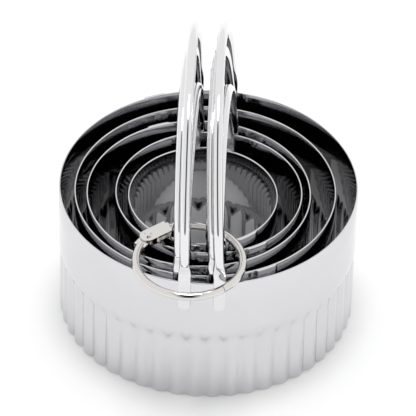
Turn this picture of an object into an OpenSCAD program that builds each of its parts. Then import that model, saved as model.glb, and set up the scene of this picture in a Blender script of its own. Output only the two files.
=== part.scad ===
// Nested set of five round cutters with fluted lower walls, held together by a hinged binder ring.
// Millimetres, +Z up. The origin is the middle of the largest cutter's cutting edge, on the table.
// Cutter 1 is the largest and cutter 5 the smallest. The handles run from front (-Y) to back (+Y).

/* [Bands] */
// Outer diameter of the largest cutter
largest_d = 88.9; // [74:0.1:107]
// Step in diameter from one cutter to the next
size_step = 11.1; // [9.2:0.1:13.4]
// Height of every band
band_h = 45; // [37:0.5:54]
// Thickness of the sheet steel
sheet_t = 0.5; // [0.4:0.05:0.6]
// Length of the lap at each band's welded seam
lap_w = 7; // [5:0.5:9]
// Angle of the seam on each band, largest first
seam_turn = [108, -67, 106, -66, -62]; // [-180:1:180]

/* [Flutes] */
// Height of the fluted wall above the cutting edge
flute_h = 26; // [18:0.5:27]
// Distance from one flute to the next round the wall
flute_pitch = 5.6; // [4.6:0.1:6.8]
// Depth of the valleys below the crests
flute_depth = 0.8; // [0.6:0.05:1]
// How far the crests lie inside the plain wall
flute_sink = 0.35; // [0.2:0.05:0.5]
// Height of the shoulder between plain and fluted wall
shoulder_h = 1.5; // [1:0.1:2]

/* [Nesting] */
// Sideways rest place of cutters 2 to 5 in the next larger one, as a share of the free room
nest_x = [-0.26, -0.53, 0.83, -0.48]; // [-0.9:0.01:0.9]
// The same from front to back
nest_y = [-0.97, -0.56, 0.18, -0.71]; // [-1:0.01:1]
// Least gap between neighbouring cutters
nest_gap = 0.3; // [0.2:0.05:0.5]

/* [Handles] */
// Diameter of the handle wire
wire_d = 3; // [2.5:0.1:3.6]
// Distance between the two wires of a handle at their feet
wire_spacing = 10.2; // [8.5:0.1:12.3]
// Height of the arch centres above the rim
arch_rise = 2.6; // [1:0.1:3]
// Inward lean of each wire, in degrees
wire_lean = 1.1; // [0:0.1:1.5]
// Gap between the round wire and the wall
wire_gap = 0.1; // [0.05:0.05:0.3]
// Turn of each handle about its cutter's axis, largest first, in degrees
handle_turn = [1.5, 2.6, -0.3, 3, 5.5]; // [-8:0.1:8]
// Lean of each whole handle to the right, in degrees, largest first
handle_tilt = [-2.1, -3, -0.6, -1, -1]; // [-4:0.1:4]

/* [Tabs] */
// Width of the flattened wire ends
tab_w = 3.7; // [3.1:0.1:4.2]
// Thickness of the flattened wire ends
tab_t = 1.2; // [1:0.1:1.4]
// Length of the tabs below the rim
tab_drop = 9.5; // [8:0.5:11]
// Height above the rim where the flattening begins
press_rise = 5; // [4:0.5:6]
// Height of the slope from flat to round
press_slope = 3; // [2:0.5:4]
// Radius of the tab's lower corners
tab_corner = 1.1; // [0.8:0.1:1.3]

/* [Binder ring] */
// Diameter of the ring at the middle of its wire
ring_d = 31.4; // [29:0.1:37.6]
// Diameter of the ring's wire
ring_wire_d = 2.4; // [2:0.1:2.8]
// Sideways place of the ring's middle
ring_x = -5.1; // [-6:0.1:-4]
// Gap between the ring and the nearest tab
ring_gap = 0.3; // [0.2:0.05:0.6]
// Gap between the ring and the rims below it
ring_seat_gap = 0.35; // [0.2:0.05:0.6]
// Angle of the hinge round the ring, in degrees
hinge_turn = 142; // [130:1:150]
// Angle of the clasp round the ring, in degrees
clasp_turn = -46; // [-60:1:-40]
// Length of the half lap at the clasp
clasp_lap = 3; // [2:0.5:4]
// Gap in the half lap, between the two ends
clasp_gap = 0.15; // [0.1:0.05:0.3]

/* [Ring hinge] */
// Diameter of the rivet
rivet_d = 1.6; // [1.3:0.1:1.9]
// Diameter of the rivet's upper head
rivet_head_d = 2.8; // [2.4:0.1:3.2]
// Height of the rivet's upper head
rivet_head_h = 0.55; // [0.4:0.05:0.8]
// Height of the rivet's peened lower end
rivet_peen_h = 0.25; // [0.15:0.05:0.3]
// Running clearance of the rivet in the gate, on the radius
rivet_clear = 0.05; // [0.02:0.01:0.1]
// Thickness of the bracket's sheet
bracket_t = 0.5; // [0.4:0.05:0.6]
// Width of the bracket
bracket_w = 4.8; // [4.4:0.1:5.4]
// Length of the bracket from the rivet to its far end's centre
bracket_l = 7.6; // [7:0.1:8.4]
// Thickness of the gate's flattened tongue
tongue_t = 1.2; // [1:0.1:1.4]
// Width of both flattened tongues
tongue_w = 3.6; // [3.2:0.1:4]
// Clearance above and below the gate's tongue
tongue_clear = 0.06; // [0.03:0.01:0.1]
// Length of the gate's tongue from the rivet
tongue_l = 3.6; // [3:0.1:4.5]

/* [Hidden] */
round_steps = 96;
wire_steps = 32;
flute_points = 6;
lip = 0.05;
sink = 0.3;
reach = 20;
radial_step = size_step / 2;
wall_depth = sheet_t + flute_sink + flute_depth;
room_x = radial_step - wall_depth - nest_gap;
room_y = radial_step - wire_d - nest_gap;
arch_z = band_h + arch_rise;
press_z = band_h + press_rise;
tab_top = arch_z + 1.5;
ring_r = ring_d / 2;
ring_z = band_h + ring_wire_d / 2 + ring_seat_gap;

function outer_r(i) = largest_d / 2 - radial_step * (i - 1);
function flute_count(i) = round(2 * PI * outer_r(i) / flute_pitch);
function place_x(i) = i < 2 ? 0 : place_x(i - 1) + nest_x[i - 2] * room_x;
function place_y(i) = i < 2 ? 0 : place_y(i - 1) + nest_y[i - 2] * room_y;
function leg_y(i) = sqrt(pow(outer_r(i) + wire_gap + wire_d / 2, 2) - pow(wire_spacing / 2, 2));
function wave(a, n) = 1 - abs(cos(n * a / 2));
function fluted(r, a, n) = (r - flute_sink - flute_depth * wave(a, n)) * [cos(a), sin(a)];
function fluted_line(r, n) =
  [for (k = [0 : n * flute_points - 1]) fluted(r, 360 * k / (n * flute_points), n)];

// The ring's middle follows from the corner of the largest cutter's right front tab.
corner_a = handle_turn[0];
corner_side = wire_spacing / 2 + tab_w / 2;
corner_front = sqrt(pow(outer_r(1) + tab_t, 2) - pow(corner_side, 2));
corner_x = corner_side * cos(corner_a) - corner_front * sin(corner_a);
corner_y = -corner_front * cos(corner_a) - corner_side * sin(corner_a);
ring_free_r = ring_r - ring_wire_d / 2 - ring_gap;
ring_y = corner_y + sqrt(pow(ring_free_r, 2) - pow(corner_x - ring_x, 2));

// The bracket lies along the chord from the rivet to its far end.
bracket_span = 2 * asin(bracket_l / 2 / ring_r);
// The round wire ends where its end face is clear of the bracket.
wire_end_span = bracket_span + asin((ring_wire_d / 2 * tan(bracket_span / 2) + 0.1) / ring_r);
bracket_turn = hinge_turn - bracket_span / 2 - 90;
tongue_span = 2 * asin(tongue_l / 2 / ring_r);
tongue_turn = hinge_turn + tongue_span / 2 + 90;
lap_span = clasp_lap / ring_r * 180 / PI;
clasp_end_span = clasp_gap / ring_r * 180 / PI;
leaf_gap = tongue_t + 2 * tongue_clear;
bracket_h = leaf_gap + 2 * bracket_t;

module at_cutter(i) {
  translate([place_x(i), place_y(i), 0]) children();
}

// Plain wall and shoulder, as one turned profile.
module upper_wall(r) {
  rotate_extrude($fn = round_steps)
    polygon([
      [r - sheet_t, band_h],
      [r, band_h],
      [r, flute_h],
      [r - flute_sink + lip, flute_h - shoulder_h],
      [r - wall_depth - lip, flute_h - shoulder_h],
      [r - sheet_t, flute_h]
    ]);
}

module fluted_wall(r, n) {
  linear_extrude(flute_h - shoulder_h + sink)
    difference() {
      polygon(fluted_line(r, n));
      polygon(fluted_line(r - sheet_t, n));
    }
}

// The outer end of the strip, lapped over the inner one and welded. Below the shoulder the ends are flush.
module seam_lap(r, turn) {
  rotate([0, 0, turn])
    rotate_extrude(angle = lap_w / r * 180 / PI, $fn = round_steps)
      polygon([
        [r - sheet_t / 2, band_h],
        [r + sheet_t, band_h],
        [r + sheet_t, flute_h],
        [r + sheet_t - flute_sink + lip, flute_h - shoulder_h],
        [r - flute_sink - flute_depth, flute_h - shoulder_h],
        [r - sheet_t / 2, flute_h]
      ]);
}

module band(i) {
  color("silver")
    at_cutter(i)
      union() {
        upper_wall(outer_r(i));
        fluted_wall(outer_r(i), flute_count(i));
        seam_lap(outer_r(i), seam_turn[i - 1]);
      }
}

// Outline of a tab seen from the front: round lower corners and a drawn-in top.
module tab_outline() {
  low = band_h - tab_drop;
  translate([-tab_w / 2, low + tab_corner])
    square([tab_w, tab_top - 1 - low - tab_corner]);
  translate([-tab_w / 2 + tab_corner, low])
    square([tab_w - 2 * tab_corner, 2 * tab_corner]);
  for (side = [-1, 1])
    translate([side * (tab_w / 2 - tab_corner), low + tab_corner])
      circle(tab_corner, $fn = wire_steps);
  polygon([
    [-tab_w / 2, tab_top - 1],
    [tab_w / 2, tab_top - 1],
    [wire_d / 2, tab_top],
    [-wire_d / 2, tab_top]
  ]);
}

// Front and back tabs of one wire, curved to lie on the wall.
module tabs(r, x) {
  intersection() {
    difference() {
      cylinder(h = band_h + reach, r = r + tab_t, $fn = round_steps);
      translate([0, 0, -1])
        cylinder(h = band_h + reach + 2, r = r, $fn = round_steps);
    }
    translate([x, r + reach, 0])
      rotate([90, 0, 0])
        linear_extrude(2 * (r + reach))
          tab_outline();
  }
}

// What is pressed away from the wire's ends, outside the tabs' face.
module press_cut(r) {
  rotate_extrude($fn = round_steps)
    polygon([
      [r + tab_t, band_h - tab_drop],
      [r + tab_t, press_z],
      [r + wire_d + 2 * wire_gap, press_z + press_slope],
      [r + reach, press_z + press_slope],
      [r + reach, band_h - tab_drop]
    ]);
}

module arch(i, x, lean) {
  translate([x, 0, arch_z])
    rotate([0, lean, 0])
      rotate([90, 0, 90])
        rotate_extrude(angle = 180, $fn = round_steps)
          translate([leg_y(i), 0])
            circle(d = wire_d, $fn = wire_steps);
}

// One wire of a handle; side is -1 for the left wire and 1 for the right one.
module handle_wire(i, side) {
  x = side * wire_spacing / 2;
  color("gainsboro")
    at_cutter(i)
      rotate([0, 0, -handle_turn[i - 1]])
        union() {
          difference() {
            arch(i, x, handle_tilt[i - 1] - side * wire_lean);
            press_cut(outer_r(i));
          }
          tabs(outer_r(i), x);
        }
}

module at_ring() {
  translate([ring_x, ring_y, ring_z]) children();
}

// Stretch of the ring's wire.
module ring_wire(from, to) {
  rotate([0, 0, from])
    rotate_extrude(angle = to - from, $fn = round_steps)
      translate([ring_r, 0])
        circle(d = ring_wire_d, $fn = wire_steps);
}

// What the half lap of the clasp takes off one end: the lower half at side -1, the upper at side 1.
module lap_cut(from, to, side) {
  low = side < 0 ? -ring_wire_d : -clasp_gap / 2;
  rotate([0, 0, from])
    rotate_extrude(angle = to - from, $fn = round_steps)
      translate([ring_r - ring_wire_d, low])
        square([2 * ring_wire_d, ring_wire_d + clasp_gap / 2]);
}

module at_rivet() {
  rotate([0, 0, hinge_turn]) translate([ring_r, 0, 0]) rotate([0, 0, -hinge_turn]) children();
}

// Flat strip with one round end at the rivet, laid out from there in direction turn.
module strip(turn, length, width, thickness) {
  translate([0, 0, -thickness / 2])
    rotate([0, 0, turn]) {
      cylinder(h = thickness, d = width, $fn = wire_steps);
      translate([0, -width / 2, 0]) cube([length, width, thickness]);
    }
}

// The far half of the ring, with the upper hook of the clasp and a flattened end in the bracket.
module ring_half() {
  color("lightgray")
    at_ring()
      union() {
        difference() {
          ring_wire(clasp_turn - lap_span / 2 + clasp_end_span, hinge_turn - wire_end_span);
          lap_cut(clasp_turn - lap_span, clasp_turn + lap_span / 2, -1);
        }
        at_rivet()
          intersection() {
            strip(bracket_turn, bracket_l + 1, tongue_w, leaf_gap);
            rotate([0, 0, bracket_turn])
              translate([tongue_w / 2 + sink, -tongue_w, -leaf_gap])
                cube([bracket_l + 1, 2 * tongue_w, 2 * leaf_gap]);
          }
      }
}

// The near half of the ring, which swings out on the rivet.
module ring_gate() {
  color("whitesmoke")
    at_ring()
      difference() {
        union() {
          difference() {
            ring_wire(hinge_turn + tongue_span, 360 + clasp_turn + lap_span / 2 - clasp_end_span);
            lap_cut(360 + clasp_turn - lap_span / 2, 360 + clasp_turn + lap_span, 1);
          }
          at_rivet() strip(tongue_turn, tongue_l + 1, tongue_w, tongue_t);
        }
        at_rivet()
          translate([0, 0, -tongue_t])
            cylinder(h = 2 * tongue_t, r = rivet_d / 2 + rivet_clear, $fn = wire_steps);
      }
}

// Folded sheet: two leaves over both flattened ends, and a fold along their outer edge.
module hinge_bracket() {
  fold_from = rivet_head_d / 2 + 0.6;
  color("gainsboro")
    at_ring()
      at_rivet()
        difference() {
          union() {
            for (side = [-1, 1])
              translate([0, 0, side * (leaf_gap + bracket_t) / 2])
                strip(bracket_turn, bracket_l, bracket_w, bracket_t);
            rotate([0, 0, bracket_turn])
              translate([fold_from, bracket_w / 2 - bracket_t, -bracket_h / 2])
                cube([bracket_l - fold_from, bracket_t, bracket_h]);
          }
          translate([0, 0, -bracket_h])
            cylinder(h = 2 * bracket_h, d = rivet_d, $fn = wire_steps);
        }
}

module hinge_rivet() {
  color("silver")
    at_ring()
      at_rivet()
        union() {
          translate([0, 0, -bracket_h / 2 - rivet_peen_h])
            cylinder(h = bracket_h + rivet_peen_h, d = rivet_d, $fn = wire_steps);
          translate([0, 0, bracket_h / 2])
            cylinder(h = rivet_head_h, d1 = rivet_head_d, d2 = rivet_d, $fn = wire_steps);
          translate([0, 0, -bracket_h / 2 - rivet_peen_h])
            cylinder(h = rivet_peen_h, d1 = rivet_d, d2 = rivet_d + 0.5, $fn = wire_steps);
        }
}

for (i = [1 : 5]) {
  band(i);
  handle_wire(i, -1);
  handle_wire(i, 1);
}
ring_half();
ring_gate();
hinge_bracket();
hinge_rivet();
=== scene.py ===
"""Nested set of five polished cutters on a hinged binder ring, on a pale table."""
import math

import bmesh
import bpy
from mathutils import Matrix, Quaternion, Vector


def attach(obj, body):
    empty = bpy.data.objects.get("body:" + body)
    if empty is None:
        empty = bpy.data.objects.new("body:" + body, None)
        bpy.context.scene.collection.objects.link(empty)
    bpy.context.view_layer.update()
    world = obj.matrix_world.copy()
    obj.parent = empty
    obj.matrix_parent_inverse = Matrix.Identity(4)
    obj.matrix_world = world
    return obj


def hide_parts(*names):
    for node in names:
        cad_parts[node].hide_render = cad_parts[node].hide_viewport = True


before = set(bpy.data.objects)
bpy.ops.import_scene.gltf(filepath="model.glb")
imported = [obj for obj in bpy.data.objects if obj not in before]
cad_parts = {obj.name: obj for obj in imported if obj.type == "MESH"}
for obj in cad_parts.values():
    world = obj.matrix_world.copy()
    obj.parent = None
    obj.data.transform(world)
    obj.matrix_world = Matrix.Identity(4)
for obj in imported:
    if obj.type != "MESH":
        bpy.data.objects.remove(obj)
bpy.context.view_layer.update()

# Sizes in millimetres, as in the part's source.
MM = 0.001
LARGEST_R = 44.45
RADIAL_STEP = 5.55
BAND_H = 45.0
SHEET = 0.5
FLUTE_H = 26.0
FLUTE_PITCH = 5.6
FLUTE_DEPTH = 0.8
FLUTE_SINK = 0.35
LAP_W = 7.0
SEAM_TURN = (108, -67, 106, -66, -62)
WALL_DEPTH = SHEET + FLUTE_SINK + FLUTE_DEPTH
NEST_GAP = 0.3
NEST_X = (0, -0.26, -0.53, 0.83, -0.48)
NEST_Y = (0, -0.97, -0.56, 0.18, -0.71)
WIRE_R = 1.5
WIRE_SPACING = 10.2
WIRE_LEAN = 1.1
WIRE_GAP = 0.1
ARCH_Z = BAND_H + 2.6
HANDLE_TURN = (1.5, 2.6, -0.3, 3.0, 5.5)
HANDLE_TILT = (-2.1, -3.0, -0.6, -1.0, -1.0)
TAB_W = 3.7
TAB_T = 1.2
TAB_LOW = BAND_H - 9.5
TAB_CORNER = 1.1
PRESS_Z = BAND_H + 5.0
PRESS_SLOPE = 3.0
CUTTERS = range(1, 6)


def outer_r(i):
    return LARGEST_R - RADIAL_STEP * (i - 1)


def place(i):
    room_x = RADIAL_STEP - WALL_DEPTH - NEST_GAP
    room_y = RADIAL_STEP - 2 * WIRE_R - NEST_GAP
    return Vector((sum(NEST_X[:i]) * room_x, sum(NEST_Y[:i]) * room_y, 0))


def smooth(x):
    x = min(max(x, 0.0), 1.0)
    return x * x * (3 - 2 * x)


# Camera
IMAGE_PX = 416
FOCUS_PX = 6257
CAMERA_DISTANCE = 1.888
CAMERA_ELEVATION = math.radians(41.48)
CAMERA_TILT = math.radians(0.831)
CAMERA_ROLL = math.radians(-1.389)


def make_camera():
    data = bpy.data.cameras.new("camera")
    camera = bpy.data.objects.new("camera", data)
    bpy.context.scene.collection.objects.link(camera)
    bpy.context.scene.camera = camera
    data.sensor_width = 36
    data.lens = data.sensor_width * FOCUS_PX / IMAGE_PX
    data.clip_end = 20
    eye = CAMERA_DISTANCE * Vector((0, -math.cos(CAMERA_ELEVATION), math.sin(CAMERA_ELEVATION)))
    ahead = -eye.normalized()
    right = ahead.cross(Vector((0, 0, 1))).normalized()
    ahead = Quaternion(right, CAMERA_TILT) @ ahead
    right = Quaternion(ahead, CAMERA_ROLL) @ right
    up = right.cross(ahead)
    camera.matrix_world = Matrix((
        (right.x, up.x, -ahead.x, eye.x),
        (right.y, up.y, -ahead.y, eye.y),
        (right.z, up.z, -ahead.z, eye.z),
        (0, 0, 0, 1),
    ))


make_camera()


def polished_steel(name, colour, roughness, scratch, grain, pressed_colour=None, inside_shade_colour=None):
    """Mirror finish with polishing lines and smears, duller on pressed ends; inside walls get a darker base
    colour as painted shade.
    """
    material = bpy.data.materials.new(name)
    material.use_nodes = True
    nodes = material.node_tree.nodes
    links = material.node_tree.links
    shader = nodes["Principled BSDF"]
    shader.inputs["Metallic"].default_value = 1.0
    place_node = nodes.new("ShaderNodeTexCoord")
    stretch = nodes.new("ShaderNodeMapping")
    stretch.inputs["Scale"].default_value = grain
    lines = nodes.new("ShaderNodeTexNoise")
    lines.inputs["Scale"].default_value = 900
    lines.inputs["Detail"].default_value = 3
    smears = nodes.new("ShaderNodeTexNoise")
    smears.inputs["Scale"].default_value = 60
    smears.inputs["Detail"].default_value = 4
    ramp = nodes.new("ShaderNodeMapRange")
    ramp.inputs["To Min"].default_value = roughness * 0.6
    ramp.inputs["To Max"].default_value = roughness * 1.6
    tint = nodes.new("ShaderNodeMixRGB")
    tint.inputs["Color1"].default_value = (*[c * 0.94 for c in colour], 1)
    tint.inputs["Color2"].default_value = (*colour, 1)
    bump = nodes.new("ShaderNodeBump")
    bump.inputs["Strength"].default_value = scratch
    bump.inputs["Distance"].default_value = 0.00002
    links.new(place_node.outputs["Object"], stretch.inputs["Vector"])
    links.new(stretch.outputs["Vector"], lines.inputs["Vector"])
    links.new(place_node.outputs["Object"], smears.inputs["Vector"])
    links.new(smears.outputs["Fac"], ramp.inputs["Value"])
    links.new(ramp.outputs["Result"], shader.inputs["Roughness"])
    links.new(smears.outputs["Fac"], tint.inputs["Fac"])
    if pressed_colour:
        height = nodes.new("ShaderNodeSeparateXYZ")
        upward = nodes.new("ShaderNodeMapRange")
        upward.inputs["From Min"].default_value = PRESSED_Z[0] * MM
        upward.inputs["From Max"].default_value = PRESSED_Z[1] * MM
        ends = nodes.new("ShaderNodeMixRGB")
        ends.inputs["Color1"].default_value = (*pressed_colour, 1)
        links.new(place_node.outputs["Object"], height.inputs["Vector"])
        links.new(height.outputs["Z"], upward.inputs["Value"])
        links.new(upward.outputs["Result"], ends.inputs["Fac"])
        links.new(tint.outputs["Color"], ends.inputs["Color2"])
        links.new(ends.outputs["Color"], shader.inputs["Base Color"])
    # Painted shade: faces turned towards the middle get the darker inside colour, standing in for the shade down
    # between the nested bands.
    elif inside_shade_colour:
        facing = nodes.new("ShaderNodeVectorMath")
        facing.operation = "DOT_PRODUCT"
        outside = nodes.new("ShaderNodeMapRange")
        outside.inputs["From Min"].default_value = -INSIDE_SHADE_BLEND * MM
        outside.inputs["From Max"].default_value = INSIDE_SHADE_BLEND * MM
        inside_shade_mix = nodes.new("ShaderNodeMixRGB")
        inside_shade_mix.inputs["Color1"].default_value = (*inside_shade_colour, 1)
        links.new(place_node.outputs["Object"], facing.inputs[0])
        links.new(place_node.outputs["Normal"], facing.inputs[1])
        links.new(facing.outputs["Value"], outside.inputs["Value"])
        links.new(outside.outputs["Result"], inside_shade_mix.inputs["Fac"])
        links.new(tint.outputs["Color"], inside_shade_mix.inputs["Color2"])
        links.new(inside_shade_mix.outputs["Color"], shader.inputs["Base Color"])
    else:
        links.new(tint.outputs["Color"], shader.inputs["Base Color"])
    links.new(lines.outputs["Fac"], bump.inputs["Height"])
    links.new(bump.outputs["Normal"], shader.inputs["Normal"])
    return material


PRESSED_Z = (44.0, 49.0)
INSIDE_SHADE_BLEND = 4.0
# The band's last colour is painted shade for its inside walls.
BAND_STEEL = polished_steel("band_steel", (0.69, 0.69, 0.705), 0.05, 0.12, (1, 1, 0.08), None, (0.53, 0.53, 0.54))
WIRE_STEEL = polished_steel("wire_steel", (0.80, 0.80, 0.81), 0.06, 0.08, (1, 1, 1), (0.73, 0.73, 0.74))
RING_NICKEL = polished_steel("ring_nickel", (0.72, 0.70, 0.68), 0.08, 0.10, (1, 1, 1))


def mesh_piece(name, points, faces, material):
    """Makes one smooth-shaded piece from points in millimetres."""
    mesh = bpy.data.meshes.new(name)
    mesh.from_pydata([Vector(p) * MM for p in points], [], faces)
    mesh.materials.append(material)
    mesh.validate()
    mesh.shade_smooth()
    mesh.set_sharp_from_angle(angle=math.radians(50))
    piece = bpy.data.objects.new(name, mesh)
    bpy.context.scene.collection.objects.link(piece)
    return piece


# Bands
FLUTE_STEPS = 12
FLUTE_TOP = 2.2
FLUTE_FADE = 3.4
OUTER_LEVELS = (0, 1, 6, 12, 18) + tuple(19.2 + 0.6 * k for k in range(14)) + (28.5, 36, 44.85, 45)
LAP_EDGE = 0.35


def wall_r(i, turn, z, count):
    """Radius of the outer face: flutes with round tops, fading into the plain wall."""
    valley = 1 - abs(math.cos(count * turn / 2)) ** 1.3
    top = FLUTE_H - FLUTE_FADE / 2 - FLUTE_TOP * valley ** 2
    fade = smooth((top - z) / FLUTE_FADE + 0.5)
    settle = smooth((FLUTE_H + 1 - z) / 6)
    return outer_r(i) - settle * FLUTE_SINK - fade * FLUTE_DEPTH * valley


def lap_height(i, turn):
    """Extra radius where the strip laps over itself."""
    start = math.radians(SEAM_TURN[i - 1])
    along = ((turn - start) % (2 * math.pi)) * outer_r(i)
    return SHEET * smooth(along / LAP_EDGE) * smooth((LAP_W - along) / LAP_EDGE)


def make_band(i):
    count = round(2 * math.pi * outer_r(i) / FLUTE_PITCH)
    steps = count * FLUTE_STEPS
    middle = place(i)
    points, faces = [], []
    rows = [(z, 0.0) for z in OUTER_LEVELS] + [(z, SHEET) for z in reversed(OUTER_LEVELS)]
    for z, inward in rows:
        edge = 0.1 if z in (0, BAND_H) else 0.0
        side = 1 if inward else -1
        for k in range(steps):
            turn = 2 * math.pi * k / steps
            r = wall_r(i, turn, z, count) - inward + side * edge
            if not inward:
                r += lap_height(i, turn)
            points.append(middle + Vector((r * math.cos(turn), r * math.sin(turn), z)))
    for row in range(len(rows)):
        below, above = row * steps, (row + 1) % len(rows) * steps
        for k in range(steps):
            n = (k + 1) % steps
            faces.append((below + k, below + n, above + n, above + k))
    return mesh_piece(f"fluted_band_{i}", points, faces, BAND_STEEL)


# Handle wires
SECTION_STEPS = 28
ARCH_STEPS = 96


def section(width, thickness, flatness):
    """Outline of the wire: round at flatness 0, a strip with round edges at 1."""
    power = 2 / (2 + 3 * flatness)
    ring = []
    for k in range(SECTION_STEPS):
        a = 2 * math.pi * k / SECTION_STEPS
        c, s = math.cos(a), math.sin(a)
        ring.append((
            width / 2 * math.copysign(abs(c) ** power, c),
            thickness / 2 * math.copysign(abs(s) ** power, s),
        ))
    return ring


def tab_width(z):
    """Full width of the tab, drawn in at its round lower corners."""
    above = z - TAB_LOW
    if above >= TAB_CORNER:
        return TAB_W
    return TAB_W - 2 * (TAB_CORNER - math.sqrt(max(TAB_CORNER ** 2 - (TAB_CORNER - above) ** 2, 0)))


def leg_stations():
    """Stations up one leg as (z, width, thickness, flatness)."""
    heights = [TAB_LOW + TAB_CORNER * h for h in (0.0, 0.06, 0.2, 0.45, 0.75, 1.0)]
    heights += [40, 44, 46, ARCH_Z]
    return [(z, tab_width(z), TAB_T, 1.0) for z in heights]


def make_wire(i, side):
    r = outer_r(i)
    x = side * WIRE_SPACING / 2
    arch_r = math.sqrt((r + WIRE_GAP + WIRE_R) ** 2 - x * x)
    lean = math.radians(HANDLE_TILT[i - 1] - side * WIRE_LEAN)
    turn_back = Quaternion((0, 0, 1), math.radians(-HANDLE_TURN[i - 1]))
    middle = place(i)
    face_turn = math.asin(x / r)
    rings = []

    def add(point, outward, across, width, thickness, flatness):
        rings.append([
            middle + turn_back @ (point + across * u + outward * v)
            for u, v in section(width, thickness, flatness)
        ])

    def leg(end):
        stations = []
        outward = Vector((math.sin(face_turn), end * math.cos(face_turn), 0))
        across = Vector((math.cos(face_turn), -end * math.sin(face_turn), 0))
        for z, width, thickness, flatness in leg_stations():
            point = outward * (r + thickness / 2 + 0.02)
            stations.append((Vector((point.x, point.y, z)), outward, across, width, thickness, flatness))
        return stations

    front = leg(-1)
    for station in front:
        add(*station)
    for k in range(1, ARCH_STEPS):
        a = math.pi * k / ARCH_STEPS
        outward = Vector((0, -math.cos(a), math.sin(a)))
        rise = arch_r * math.sin(a)
        z = ARCH_Z + rise
        round_part = smooth((z - PRESS_Z + 1.0) / (PRESS_SLOPE + 2.0))
        thickness = TAB_T + (2 * WIRE_R - TAB_T) * round_part
        width = TAB_W + (2 * WIRE_R - TAB_W) * round_part
        pressed_in = WIRE_R + WIRE_GAP - thickness / 2 - WIRE_GAP * (1 - round_part)
        reach = outward * (arch_r - pressed_in)
        point = Vector((x + reach.z * math.sin(lean), reach.y, ARCH_Z + reach.z * math.cos(lean)))
        across = Vector((1, 0, 0))
        end = 1 if a > math.pi / 2 else -1
        if round_part < 1:
            share = face_turn * (1 - round_part)
            across = Vector((math.cos(share), -end * math.sin(share), 0))
        add(point, outward, across, width, thickness, 1 - round_part)
    for station in reversed(leg(1)):
        add(*station)

    points = [p for ring in rings for p in ring]
    faces = []
    for row in range(len(rings) - 1):
        a, b = row * SECTION_STEPS, (row + 1) * SECTION_STEPS
        for k in range(SECTION_STEPS):
            n = (k + 1) % SECTION_STEPS
            faces.append((a + k, a + n, b + n, b + k))
    faces.append(tuple(reversed(range(SECTION_STEPS))))
    last = (len(rings) - 1) * SECTION_STEPS
    faces.append(tuple(range(last, last + SECTION_STEPS)))
    name = f"{'left' if side < 0 else 'right'}_handle_{i}"
    return mesh_piece(name, points, faces, WIRE_STEEL)


def face_outwards(piece):
    """Turns all faces outwards."""
    shape = bmesh.new()
    shape.from_mesh(piece.data)
    bmesh.ops.recalc_face_normals(shape, faces=shape.faces)
    shape.to_mesh(piece.data)
    shape.free()


for i in CUTTERS:
    band = make_band(i)
    face_outwards(band)
    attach(band, f"cutter_{i}")
    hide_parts(f"band_{i}")
    for side, word in ((-1, "left"), (1, "right")):
        wire = make_wire(i, side)
        face_outwards(wire)
        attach(wire, f"cutter_{i}")
        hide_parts(f"{word}_wire_{i}")

for name in ("ring_half", "ring_gate", "hinge_bracket", "hinge_rivet"):
    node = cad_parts[name]
    node.data.materials.clear()
    node.data.materials.append(RING_NICKEL)


# Table, light and surroundings
def make_table():
    bpy.ops.mesh.primitive_plane_add(size=6)
    table = bpy.context.object
    table.name = "table"
    material = bpy.data.materials.new("pale_table")
    material.use_nodes = True
    shader = material.node_tree.nodes["Principled BSDF"]
    shader.inputs["Base Color"].default_value = (0.96, 0.96, 0.96, 1)
    shader.inputs["Roughness"].default_value = 0.9
    table.data.materials.append(material)


def make_light(name, strength, spread, turn):
    data = bpy.data.lights.new(name, "SUN")
    data.energy = strength
    data.angle = math.radians(spread)
    light = bpy.data.objects.new(name, data)
    bpy.context.scene.collection.objects.link(light)
    light.rotation_euler = [math.radians(a) for a in turn]


DARK_STRIP = 0.12
DARK_EDGE = 0.40


def make_surroundings():
    """White room with one dark strip behind the camera, which polished wire mirrors as a line."""
    world = bpy.data.worlds.new("white_room")
    bpy.context.scene.world = world
    world.use_nodes = True
    nodes = world.node_tree.nodes
    links = world.node_tree.links
    background = nodes["Background"]
    background.inputs["Strength"].default_value = 1.0
    way = nodes.new("ShaderNodeTexCoord")
    split = nodes.new("ShaderNodeSeparateXYZ")
    aside = nodes.new("ShaderNodeMath")
    aside.operation = "ABSOLUTE"
    edge = nodes.new("ShaderNodeMapRange")
    edge.inputs["From Min"].default_value = DARK_STRIP
    edge.inputs["From Max"].default_value = DARK_EDGE
    behind = nodes.new("ShaderNodeMapRange")
    behind.inputs["From Min"].default_value = -0.25
    behind.inputs["From Max"].default_value = 0.0
    either = nodes.new("ShaderNodeMath")
    either.operation = "MAXIMUM"
    tone = nodes.new("ShaderNodeMixRGB")
    tone.inputs["Color1"].default_value = (0.05, 0.05, 0.055, 1)
    tone.inputs["Color2"].default_value = (1, 1, 1, 1)
    links.new(way.outputs["Generated"], split.inputs["Vector"])
    links.new(split.outputs["X"], aside.inputs[0])
    links.new(aside.outputs["Value"], edge.inputs["Value"])
    links.new(split.outputs["Y"], behind.inputs["Value"])
    links.new(edge.outputs["Result"], either.inputs[0])
    links.new(behind.outputs["Result"], either.inputs[1])
    links.new(either.outputs["Value"], tone.inputs["Fac"])
    links.new(tone.outputs["Color"], background.inputs["Color"])


make_table()
make_surroundings()
make_light("top_light", 1.0, 20, (-3, 0, 0))
bpy.context.scene.view_settings.view_transform = "Standard"
